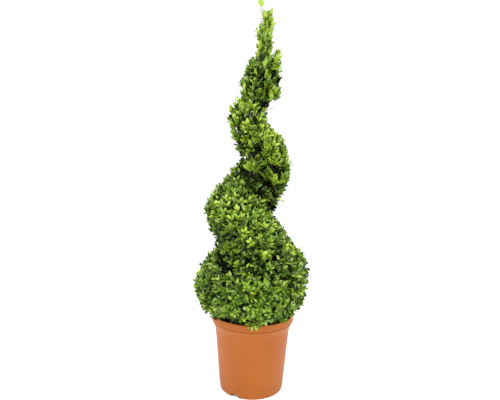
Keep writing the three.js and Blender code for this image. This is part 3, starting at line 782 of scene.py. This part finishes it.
def dealt_outer(w, z):
    """Shades of the outermost sprays: the higher, the more fresh growth."""
    chance = rng.uniform(size=len(w))
    shade = dealt(BALL, len(w))
    in_turns = chance < np.clip((z - TURNS_FROM) / TURNS_FADE, 0, 1)
    shade = np.where(in_turns, dealt(TURNS, len(w)), shade)
    at_top = chance < np.clip((z - TOP_FROM) / TOP_FADE, 0, 1)
    shade = np.where(at_top, dealt(TOP, len(w)), shade)
    place = on_surface(w, z)
    for across, height, radius, young in TUFTS:
        near = np.hypot(place[:, 0] - across, place[:, 2] - height) < radius
        shade = np.where(near & (place[:, 1] < 0), young, shade)
    return shade


# Places tried, room between the sprays and the height that they reach, layer by layer.
OUTER_PLACES = (110000, 0.0148, 1.090)
MIDDLE_PLACES = (40000, 0.0190, 1.080)
INNER_PLACES = (48000, 0.0190, 1.060)
HOLLOWED = 0.7  # share of the outer sprays that are missing where a hollow counts 1


def outer_layer():
    """The sprays that were clipped: their ends lie close under the surface."""
    w, z = places(*OUTER_PLACES)
    depth = rng.normal(0.0070, 0.0040, len(w)).clip(-0.002, 0.018)
    depth += np.interp(z, [0.56, 0.64, 0.98, 1.04], [0.0, 0.005, 0.005, 0.0])
    shoot = rng.uniform(0.020, 0.028, len(w)) * (1 + 0.3 * erectness(w))
    filled = rng.uniform(size=len(w)) > HOLLOWED * hollow(w, z)
    w, z, depth, shoot = picked(filled, w, z, depth, shoot)
    grow(w, z, depth, shoot, pairs=5, shade=dealt_outer(w, z))


def middle_layer():
    """Darker sprays behind them, which lean more freely: older leaves, partly painted shade."""
    w, z = places(*MIDDLE_PLACES)
    room = (reach(w, z) - inner_table(w)).clip(0.004, 0.030)
    depth = 0.004 + room * rng.uniform(0.4, 0.9, len(w))
    shoot = rng.uniform(0.018, 0.026, len(w))
    shade = dealt(MIDDLE, len(w))
    grow(w, z, depth, shoot, 4, shade, outwardness=0.7, looseness=0.8, thinning=0.2)


def inner_layer():
    """The darkest sprays, round the limbs: near-black leaves as painted shade."""
    w, z = places(*INNER_PLACES)
    room = (reach(w, z) - 0.7 * inner_table(w)).clip(0.006, 0.060)
    depth = room * rng.uniform(0.75, 1.0, len(w))
    shoot = rng.uniform(0.016, 0.024, len(w))
    shade = dealt(INNER, len(w))
    grow(w, z, depth, shoot, 4, shade, outwardness=0.5, looseness=1.0, thinning=0.0)


outer_layer()
middle_layer()
inner_layer()

# ---- the spire at the top ----

# The leading stem, from the trunk's top to the tip.
TIP_STEM = np.array(
    [trunk_centre(TRUNK_HIGH.z), [0.0295, 0, 1.192], [0.0255, 0, 1.218], [0.0185, 0, 1.238]]
)
TIP_STEM_RADII = [0.0021, 0.0017, 0.0012, 0.0007]
SPIRE_SHARES = (0.36, 0.46, 0.18, 0.0, 0.0, 0.0)
SPIRE_HEIGHTS = [1.090, 1.130, 1.150, 1.170, 1.190, 1.220]
SPIRE_RADII = [0.024, 0.026, 0.026, 0.022, 0.014, 0.005]
SPIRE_TURN = 2.4  # turn from one shoot to the next, about the golden angle
SPIRE_W = 4.6  # the spire grows as the winding would at this half turn
BESIDE_TRUNK = 0.010  # how far the spire's middle stands beside the trunk, over its lower part
SPIRE_ROOT, SPIRE_END = 0.25, (0.55, 1.0)  # how far out shoots begin and end, of its radius
SPIRE_DROP, SPIRE_RISE = 0.010, 0.020  # how far they begin under their place and end over it


def spire(count):
    """Erect shoots round the leading stem, the loose growth that the shears leave at the top."""
    share = (np.arange(count) + 0.5) / count
    z = SPIRE_HEIGHTS[0] + (SPIRE_HEIGHTS[-1] - SPIRE_HEIGHTS[0]) * share
    angle = SPIRE_TURN * np.arange(count) + rng.uniform(0, 0.6, count)
    out = around(angle)
    centre = np.stack([np.interp(z, TIP_STEM[:, 2], TIP_STEM[:, 0]), np.zeros(count), z], 1)
    low = z < TRUNK_HIGH.z
    centre[low] = trunk_centre(z[low]) + [BESIDE_TRUNK, 0, 0]
    radius = np.interp(z, SPIRE_HEIGHTS, SPIRE_RADII)
    root = centre + out * (SPIRE_ROOT * radius)[:, None] - UP * SPIRE_DROP
    end = centre + out * (radius * rng.uniform(*SPIRE_END, count))[:, None] + UP * SPIRE_RISE
    normal = unit(out + 0.5 * UP)
    shade = dealt(SPIRE_SHARES, count)
    leaf_spray(root, end, normal, np.full(count, SPIRE_W), shade, 3, 0.95)
    return root, end


tip_root, tip_end = spire(52)

# Shoots above the spire that end in one upright leaf:
# (root, end, length and width of that leaf, pairs of leaves under it, its shade).
LEADERS = [
    ((0.0200, 0, 1.222), (0.0070, 0, 1.2585), 0.0265, 0.0185, 0, BRIGHT),
    ((0.0200, 0, 1.218), (0.0172, -0.002, 1.2270), 0.0200, 0.0135, 0, LIME),
    ((0.0220, 0, 1.200), (0.0365, -0.005, 1.2350), 0.0210, 0.0095, 0, BRIGHT),
    ((0.0240, 0, 1.200), (0.0320, -0.004, 1.2200), 0.0200, 0.0085, 0, DEEP),
    ((0.0260, 0, 1.195), (0.0370, -0.006, 1.2080), 0.0200, 0.0100, 1, BRIGHT),
]
LEADER_UPRIGHT = 0.8  # how much more upright than its shoot the last leaf stands
UNDER_LAST = 0.006  # the pairs of leaves stop this far under the last leaf


def leader(root, end, length, width, pairs, shade):
    """One shoot with an upright leaf at its end that faces the front."""
    root, end = np.array([root]), np.array([end])
    heading = unit(end - root)
    if pairs:
        pairs_end = end - heading * UNDER_LAST
        w, pairs_shade = np.array([SPIRE_W]), np.array([BRIGHT])
        leaf_spray(root, pairs_end, heading, w, pairs_shade, pairs, 0.5)
    upright = unit(heading + LEADER_UPRIGHT * UP)
    facing = np.array([[0.15, -1.0, 0.15]])
    above = unit(facing - upright * (facing * upright).sum(1)[:, None])
    length, width, curl = np.array([length]), np.array([width]), np.array([0.05])
    add_leaves(np.array([shade]), end, upright, above, length, width, curl)
    return root, end


leaders = [leader(*row) for row in LEADERS]

# ---- stray growth ----

# Shoots over the pot's rim, twigs that the shears missed and bare twigs at the top:
# (root, end, shade, pairs of leaves, their size).
STRAYS = [
    ((-0.012, -0.112, 0.276), (-0.009, -0.1450, 0.2640), BRIGHT, 4, 1.0),
    ((-0.002, -0.112, 0.278), (0.001, -0.1460, 0.2650), LIME, 4, 1.0),
    ((0.006, -0.114, 0.276), (0.011, -0.1440, 0.2660), LIME, 4, 0.9),
    ((0.014, -0.114, 0.276), (0.019, -0.1420, 0.2690), BRIGHT, 3, 0.9),
    ((-0.164, -0.088, 0.344), (-0.180, -0.0950, 0.3520), DEEP, 1, 0.6),
    ((0.018, -0.006, 0.662), (0.0885, -0.050, 0.648), LIME, 2, 0.9),
    ((0.018, -0.006, 0.690), (0.0770, -0.050, 0.633), DEEP, 1, 0.6),
    ((-0.010, -0.010, 0.915), (-0.0775, -0.020, 0.952), DEEP, 1, 0.5),
    ((0.0160, 0.000, 1.2280), (0.0015, 0.000, 1.2510), DEEP, 0, 0.5),
    ((0.0225, 0.000, 1.2000), (0.0040, 0.000, 1.2160), DEEP, 0, 0.5),
]
LEAFY_END = 0.035  # a long stray twig bears leaves over this much of its end
STRAY_W = -2.5  # stray leaves grow as on the ball
STRAY_YOUNG = 0.2


def stray(root, end, shade, pairs, size):
    """One stray shoot with leaves over its end."""
    root, end = np.array([root]), np.array([end])
    heading = unit(end - root)
    leafy = min(np.linalg.norm(end - root), LEAFY_END)
    normal = unit(heading + 0.2 * UP)
    w, shade = np.array([STRAY_W]), np.array([shade])
    leaf_root = end - leafy * heading
    leaf_spray(leaf_root, end, normal, w, shade, pairs, size, STRAY_YOUNG, drooping=True)
    return root, end


strays = [stray(*row) for row in STRAYS]

# ---- twigs: limbs fork to the sprays ----

all_roots, all_ends, all_w = np.concatenate(roots), np.concatenate(shoots), np.concatenate(owners)
CLUSTER_ROUNDS = 6


def clusters(points, count):
    """Groups of near points: the group of each point, and the groups' middles."""
    count = min(count, len(points))
    centres = points[rng.choice(len(points), count, replace=False)]
    for _ in range(CLUSTER_ROUNDS):
        nearest = np.argmin(((points[:, None] - centres[None]) ** 2).sum(-1), axis=1)
        for c in range(count):
            if (nearest == c).any():
                centres[c] = points[nearest == c].mean(0)
    return nearest, centres


def curve(a, b, sag, points):
    """Gently bent paths from a to b, (n, points, 3)."""
    bend = (a + b) / 2 + sag
    t = np.linspace(0, 1, points)[None, :, None]
    return bent(a[:, None], bend[:, None], b[:, None], t)


def tapered(n, points, first, last):
    """Radii along n tubes, from the first to the last."""
    return np.tile(np.linspace(first, last, points), (n, 1))


FORKS = 9  # twigs from the end of each limb
FORK_PLACE, FORK_RADIUS = 0.55, 0.5  # where a twig forks on its way, and its share of the limb
NODE_PLACE, NODE_RADIUS = 0.62, 0.25  # the same for the next twigs
SPRAYS_EACH = 6  # sprays on each of those
main_twigs, fine_twigs = [], []


def fork_out(start, end):
    """Forks the limb of one mass out to the roots of its sprays."""
    path, radius = limb_path(start, end)
    mine = np.where((all_w >= start) & (all_w < end))[0]
    if not len(mine):
        return
    hub = path[-1]
    nearest, centres = clusters(all_roots[mine], FORKS)
    for c, centre in enumerate(centres):
        group = mine[nearest == c]
        if not len(group):
            continue
        fork = hub + FORK_PLACE * (centre - hub)
        main_twigs.append((hub, fork, FORK_RADIUS * radius))
        parts, middles = clusters(all_roots[group], max(1, len(group) // SPRAYS_EACH))
        for m, middle in enumerate(middles):
            members = group[parts == m]
            if not len(members):
                continue
            node = fork + NODE_PLACE * (middle - fork)
            main_twigs.append((fork, node, NODE_RADIUS * radius))
            fine_twigs.extend((node, all_roots[i]) for i in members)


def sag_of(a, b, share):
    """How far twigs from a to b bend aside, up to about a share of their length."""
    length = np.linalg.norm(b - a, axis=1)[:, None]
    return share * length * rng.normal(0, 0.5, (len(a), 3))


def main_twig_part():
    a, b, thick = (np.array(column) for column in zip(*main_twigs))
    radii = thick.clip(0.0008, 0.0030)[:, None] * np.linspace(1, 0.62, 6)[None]
    return tubes(curve(a, b, sag_of(a, b, 0.10) - 0.002 * UP, 6), radii, 5)


def fine_twig_part():
    a, b = (np.array(column) for column in zip(*fine_twigs))
    return tubes(curve(a, b, sag_of(a, b, 0.12), 4), tapered(len(a), 4, 0.0008, 0.0006), 4)


def straight_part(a, b, first, last, sides):
    return tubes(curve(a, b, np.zeros_like(a), 3), tapered(len(a), 3, first, last), sides)


for start, end in STRETCHES:
    fork_out(start, end)
twig_parts = [main_twig_part(), fine_twig_part()]
bare_root, bare_end = (np.concatenate(column) for column in zip(*strays, *leaders))
twig_parts.append(straight_part(bare_root, bare_end, 0.0013, 0.0009, 5))
twigs = mesh_object("twigs", *joined(twig_parts), twig_bark)

shoot_root = np.concatenate([all_roots, tip_root])
shoot_end = np.concatenate([all_ends, tip_end])
shoot_part = straight_part(shoot_root, shoot_end, 0.0007, 0.0004, 4)
stem_part = tubes(TIP_STEM[None], np.array([TIP_STEM_RADII]), 8)
shoots_piece = mesh_object("shoots", *joined([shoot_part, stem_part]), young_bark)

# ---- trunk and boughs with bark relief ----

# Ridges and cracks run along the limbs: how fine they are across and along.
RIDGES, CRACKS = np.array([160, 160, 28]), np.array([420, 420, 110])
CRACK_SHARE = 0.45


def barked(path, radii, sides, roughness):
    """A tube whose skin is broken by ridges along the limb."""
    vertices, loops, sizes = tubes(path[None], radii[None], sides)
    centres = np.repeat(path, sides, axis=0)
    for i, centre in enumerate(centres):
        point = vertices[i]
        lift = noise.noise(Vector(point * RIDGES))
        lift += CRACK_SHARE * noise.noise(Vector(point * CRACKS))
        vertices[i] = centre + (point - centre) * (1 + roughness * lift)
    return vertices, loops, sizes


ROOT_LOBES, LOBE_SWELL, LOBE_TURN = 3, 0.16, 0.6


def lobed(points):
    """Points of the trunk, with the root flare swollen to soft lobes."""
    excess = trunk_radius(np.maximum(points[:, 2], SOIL_TOP)) - COLLAR_RADIUS
    flare = np.maximum(0, excess / (FOOT_RADIUS - COLLAR_RADIUS))
    centre = trunk_centre(points[:, 2])
    turn = np.arctan2(points[:, 1] - centre[:, 1], points[:, 0] - centre[:, 0])
    stretch = 1 + LOBE_SWELL * flare * np.cos(ROOT_LOBES * turn + LOBE_TURN)
    across = centre[:, :2] + (points[:, :2] - centre[:, :2]) * stretch[:, None]
    return np.column_stack([across, points[:, 2]])


def trunk_mesh():
    flare_top = SOIL_TOP + FLARE_HEIGHT
    foot = np.linspace(TRUNK_LOW.z, flare_top, 12)[:-1]
    heights = np.concatenate([foot, np.arange(flare_top, TRUNK_HIGH.z, 0.005), [TRUNK_HIGH.z]])
    vertices, loops, sizes = barked(trunk_centre(heights), trunk_radius(heights), 24, 0.10)
    return mesh_object("trunk_bark", lobed(vertices), loops, sizes, bark)


def limb_part(start, end):
    """One limb with its root swollen a little."""
    path, radius = limb_path(start, end, 14)
    t = np.linspace(0, 1, len(path))
    radii = radius * (1 + 0.35 * (1 - t) ** 4) * (1 - 0.38 * t)
    return barked(path, radii.clip(0.0012, None), 12, 0.09)


trunk_piece = trunk_mesh()
limb_parts = [limb_part(start, end) for start, end in STRETCHES]
boughs_piece = mesh_object("boughs_bark", *joined(limb_parts), bark)

# ---- the leaves as pieces ----

leaf_pieces = []
for (shade, *look), rows in zip(SHADES, leaf_rows):
    leaf_finish = finish_of("leaf_" + shade, *look)
    leaf_pieces.append(mesh_object("leaves_" + shade, *leaf_meshes(rows), leaf_finish))

# ---- pot ----


def wall_radius(z):
    return FOOT + (BODY - FOOT) * z / SHOULDER


ON_AXIS = 1e-6  # points nearer than this to the axis lie on it
LONGEST_ROUNDING = 0.45  # as a share of the shorter side beside the corner


def rounded(profile, sizes, steps=4):
    """A closed profile with its corners rounded, apart from those on the axis."""
    out = []
    count = len(profile)
    for i, p in enumerate(profile):
        before, after = profile[i - 1] - p, profile[(i + 1) % count] - p
        if p[0] < ON_AXIS:
            out.append(p)
            continue
        shorter = min(np.linalg.norm(before), np.linalg.norm(after))
        size = min(sizes[i], LONGEST_ROUNDING * shorter)
        a = p + unit(before) * size
        b = p + unit(after) * size
        out += [bent(a, p, b, t) for t in np.linspace(0, 1, steps)]
    return np.array(out)


def lathe(name, profile, segments, finish):
    """A closed profile of (radius, height) turned round the axis."""
    count = len(profile)
    turn = TURN * np.arange(segments) / segments
    vertices, index = [], np.zeros((count, segments), int)
    for i, (r, z) in enumerate(profile):
        if r < ON_AXIS:
            index[i] = len(vertices)
            vertices.append((0, 0, z))
            continue
        for j in range(segments):
            index[i, j] = len(vertices)
            vertices.append((r * math.cos(turn[j]), r * math.sin(turn[j]), z))
    loops, sizes = [], []
    for i in range(count):
        k = (i + 1) % count
        for j in range(segments):
            m = (j + 1) % segments
            ring = [index[i, j], index[i, m], index[k, m], index[k, j]]
            face = [v for n, v in enumerate(ring) if v != ring[n - 1]]
            if len(face) > 2:
                loops += face
                sizes.append(len(face))
    return mesh_object(name, np.array(vertices), loops, sizes, finish)


floor_top = CHANNEL_HEIGHT + WALL
band_foot = POT_TOP - BAND
rim_inner = RIM - WALL
WALL_STEPS = 12
wall_heights = [SHOULDER * i / WALL_STEPS for i in range(1, WALL_STEPS)]
# The shell's outline: under the floor, up the outside, over the rim and down the inside.
profile = [
    (0, 0),
    (CHANNEL_INNER, 0),
    (CHANNEL_INNER + CHANNEL_DRAFT, CHANNEL_HEIGHT),
    (wall_radius(CHANNEL_HEIGHT) - WALL, CHANNEL_HEIGHT),
    (wall_radius(CHANNEL_HEIGHT) - WALL - CHANNEL_DRAFT, 0),
    (FOOT - 0.0005, 0),
    *[(wall_radius(height), height) for height in wall_heights],
    (BODY, SHOULDER),
    (SHOULDER_RADIUS, band_foot - GROOVE_HEIGHT),
    (GROOVE_RADIUS, band_foot - 0.8 * GROOVE_HEIGHT),
    (GROOVE_RADIUS, band_foot - 0.2 * GROOVE_HEIGHT),
    (RIM, band_foot),
    (RIM, POT_TOP),
    (rim_inner, POT_TOP),
    (rim_inner, band_foot + 2 * WALL),
    (INNER_RADIUS, band_foot + WALL / 2),
    (INNER_RADIUS, band_foot - GROOVE_HEIGHT),
    (BODY - WALL, SHOULDER - 0.002),
    (wall_radius(floor_top) - WALL, floor_top),
    (CHANNEL_INNER + CHANNEL_DRAFT - WALL, floor_top),
    (CHANNEL_INNER - WALL, WALL),
    (0, WALL),
]
# How round each corner of that outline is.
roundings = [0, 0.0015, 0.0015, 0.0015, 0.0006, 0.0045] + [0.0002] * len(wall_heights)
roundings += [0.012, 0.0006, 0.0003, 0.0003, 0.0008, 0.0014, 0.001] + [0.001] * 7 + [0]
pot = lathe("pot_shell", rounded(np.array(profile, float), roundings), 160, plastic)
pot.data.materials.append(groove_painted_shade)
groove_foot = band_foot - 0.85 * GROOVE_HEIGHT
# The outer faces in the groove take the painted shade.
for polygon in pot.data.polygons:
    middle = polygon.center
    outside = math.hypot(middle.x, middle.y) > INNER_RADIUS + WALL / 2
    if outside and groove_foot < middle.z < band_foot:
        polygon.material_index = 1


def notch_cutter(angle):
    """An arched prism that is cut out of the pot's foot."""
    steps = 16
    arch = [(-NOTCH_WIDTH / 2, -0.005), (NOTCH_WIDTH / 2, -0.005)]
    for i in range(steps + 1):
        a = math.pi * i / steps
        arch.append((NOTCH_WIDTH / 2 * math.cos(a), NOTCH_HEIGHT * math.sin(a)))
    count = len(arch)
    vertices = [(r, y, z) for r in (NOTCH_START, NOTCH_START + NOTCH_LENGTH) for y, z in arch]
    loops, sizes = list(range(count))[::-1] + list(range(count, 2 * count)), [count, count]
    for i in range(count):
        k = (i + 1) % count
        loops += [i, k, k + count, i + count]
        sizes.append(4)
    turned = [Matrix.Rotation(angle, 3, "Z") @ Vector(v) for v in vertices]
    return mesh_object("notch", turned, loops, sizes, plastic, False)


def cut_notches(shell):
    cutters = [notch_cutter(FIRST_NOTCH + TURN * i / NOTCHES) for i in range(NOTCHES)]
    for cutter in cutters:
        modifier = shell.modifiers.new("notch", "BOOLEAN")
        modifier.operation, modifier.solver, modifier.object = "DIFFERENCE", "EXACT", cutter
    graph = bpy.context.evaluated_depsgraph_get()
    made = bpy.data.meshes.new_from_object(shell.evaluated_get(graph))
    shell.modifiers.clear()
    shell.data = made
    made.set_sharp_from_angle(angle=math.radians(28))
    for cutter in cutters:
        bpy.data.objects.remove(cutter)


cut_notches(pot)

# ---- soil ----


FLOOR_GAP, SIDE_GAP = 0.0003, 0.0006  # room between the soil and the pot
SOIL_RINGS = 40
SOIL_SETTLED = 0.0015  # how far the soil's middle height lies under its box's top
CLODS, CRUMBS, CRUMB_SHARE = 60, 170, 0.7
ROUGHNESS, SUNK = 0.0022, 0.001


def soil_mesh():
    clear = WALL + SIDE_GAP
    side = [
        (0, WALL + FLOOR_GAP),
        (CHANNEL_INNER - WALL - SIDE_GAP, WALL + FLOOR_GAP),
        (wall_radius(floor_top) - clear, floor_top + FLOOR_GAP),
        (BODY - clear, SHOULDER - 0.002),
        (INNER_RADIUS - 0.001, SOIL_TOP - 0.003),
    ]
    edge = side[-1][0]
    shares = [1 - i / SOIL_RINGS for i in range(1, SOIL_RINGS + 1)]
    top = [(edge * share, SOIL_TOP - SOIL_SETTLED) for share in shares]
    piece = lathe("soil_bed", np.array(side + top), 120, earth)
    for v in piece.data.vertices:
        if v.co.z > SOIL_TOP - SOIL_SETTLED - SUNK:
            lift = noise.noise(v.co * CLODS) + CRUMB_SHARE * noise.noise(v.co * CRUMBS)
            v.co.z += ROUGHNESS * lift - SUNK
    return piece


soil = soil_mesh()

# ---- everything rides on the one body ----

for piece, nodes, slot in [
    (pot, ["pot"], "pot_plastic"),
    (soil, ["soil"], "soil"),
    (trunk_piece, ["trunk"], "bark"),
    (boughs_piece, BOUGHS, "bark"),
    (twigs, MASSES, "foliage"),
    (shoots_piece, MASSES, "foliage"),
    *[(piece, MASSES, "foliage") for piece in leaf_pieces],
]:
    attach(piece, "root")
    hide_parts(*nodes)

# ---- floor, light and camera ----

FLOOR_SIDE = 8.0  # half the floor's side
WORLD_STRENGTH = 1.04
white = finish_of("studio_floor", (255, 255, 255), 0.32, 0.35)
corners = [(FLOOR_SIDE * x, FLOOR_SIDE * y, 0) for x, y in [(-1, -1), (1, -1), (1, 1), (-1, 1)]]
floor = mesh_object("floor", np.array(corners), [0, 1, 2, 3], [4], white, False)

world = bpy.data.worlds.new("studio")
bpy.context.scene.world = world
world.use_nodes = True
sky = world.node_tree.nodes["Background"]
sky.inputs["Color"].default_value = (1, 1, 1, 1)
sky.inputs["Strength"].default_value = WORLD_STRENGTH


def area_light(name, place, target, width, height, power):
    data = bpy.data.lights.new(name, "AREA")
    data.shape, data.size, data.size_y, data.energy = "RECTANGLE", width, height, power
    lamp = bpy.data.objects.new(name, data)
    lamp.location = place
    lamp.rotation_euler = (Vector(target) - Vector(place)).to_track_quat("-Z", "Y").to_euler()
    bpy.context.collection.objects.link(lamp)


LIT = (0, 0, 0.6)  # the lights look at this place
area_light("left_softbox", (-2.2, -1.6, 1.6), LIT, 1.2, 1.8, 75)
area_light("right_softbox", (2.2, -1.6, 1.6), LIT, 1.2, 1.8, 75)
area_light("top_softbox", (0, -0.6, 3.0), LIT, 1.6, 1.6, 70)

CAMERA_PLACE = (-0.01675, -1.600, 0.8457)
DOWNWARD, ROLL = 7.18, 1.2  # degrees that the camera looks down and leans over
camera_data = bpy.data.cameras.new("camera")
camera_data.lens, camera_data.sensor_width, camera_data.sensor_fit = 35.04, 36, "HORIZONTAL"
camera = bpy.data.objects.new("camera", camera_data)
camera.matrix_world = (
    Matrix.Translation(CAMERA_PLACE)
    @ Matrix.Rotation(math.radians(90 - DOWNWARD), 4, "X")
    @ Matrix.Rotation(math.radians(ROLL), 4, "Z")
)
bpy.context.collection.objects.link(camera)
bpy.context.scene.camera = camera
bpy.context.scene.view_settings.view_transform = "Standard"
